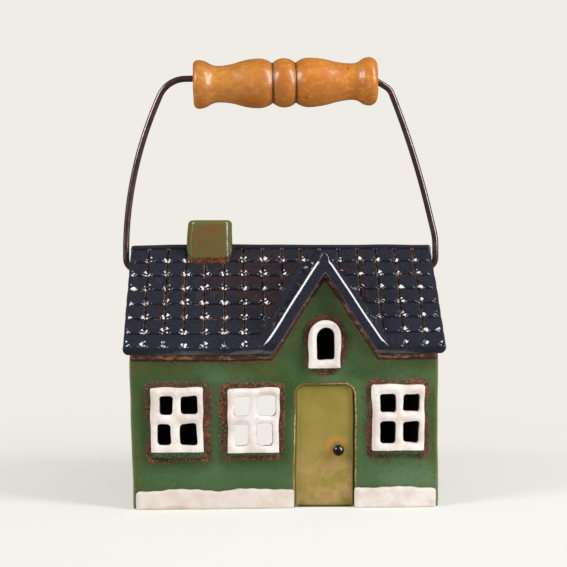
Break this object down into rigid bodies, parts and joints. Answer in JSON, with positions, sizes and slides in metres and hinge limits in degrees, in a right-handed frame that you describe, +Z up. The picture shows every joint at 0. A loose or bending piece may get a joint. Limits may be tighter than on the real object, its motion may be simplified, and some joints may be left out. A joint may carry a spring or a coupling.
{
  "type": "tealight house",
  "caption": "Glazed pottery house for a tealight, with a tiled roof, a cross gable over the door, a chimney, and a swinging wire bail with a turned wooden grip.",
  "frame": {"origin": "on the table, under the middle of the house", "axes": "+Z up, -Y out of the front with the door and windows, +X to the right as seen from the front"},
  "size_m": [0.151, 0.0964, 0.2068],
  "materials": {
    "green_glaze": "glossy mottled green glaze breaking to brown at edges",
    "navy_glaze": "glossy navy-black glaze breaking to orange-brown clay in the grooves",
    "brown_glaze": "glossy olive-brown glaze",
    "white_glaze": "brushed warm white glaze",
    "ochre_glaze": "glossy ochre-green glaze with a brown rim",
    "black_glaze": "glossy black glaze",
    "brown_wire": "dark brown lacquered steel wire",
    "varnished_wood": "turned and varnished honey-coloured wood",
    "cup_foil": "thin drawn aluminium",
    "candle_wax": "white paraffin wax",
    "cotton_wick": "waxed cotton",
    "tin_foot": "tinned steel"
  },
  "bodies": {
    "house": {"base_slab": "green_glaze", "front_wall": "green_glaze", "back_wall": "green_glaze", "left_gable_wall": "green_glaze", "right_gable_wall": "green_glaze", "front_roof_slab": "navy_glaze", "rear_roof_slab": "navy_glaze", "dormer_left_slab": "navy_glaze", "dormer_right_slab": "navy_glaze", "chimney": "brown_glaze", "left_window_frame": "white_glaze", "middle_window_frame": "white_glaze", "right_window_frame": "white_glaze", "arched_window_frame": "white_glaze", "door_panel": "ochre_glaze", "door_knob": "black_glaze", "left_plinth": "white_glaze", "right_plinth": "white_glaze"},
    "bail": {"bail_wire": "brown_wire"},
    "grip": {"handle_grip": "varnished_wood"},
    "tealight": {"tealight_cup": "cup_foil", "tealight_wax": "candle_wax", "tealight_wick": "cotton_wick", "wick_sustainer": "tin_foot"}
  },
  "joints": [
    {"name": "bail_swing", "type": "hinge", "parent": "house", "child": "bail", "pos_m": [0, 0, 0.10611], "axis": [1, 0, 0], "range_deg": [-95, 95]},
    {"name": "grip_spin", "type": "hinge", "parent": "bail", "child": "grip", "pos_m": [0.0024, 0, 0.19466], "axis": [0.9998, 0, 0.0183], "continuous": true},
    {"name": "tealight_slide", "type": "slide", "parent": "house", "child": "tealight", "axis": [0, 1, 0], "range_m": [0, 0.07]}
  ]
}
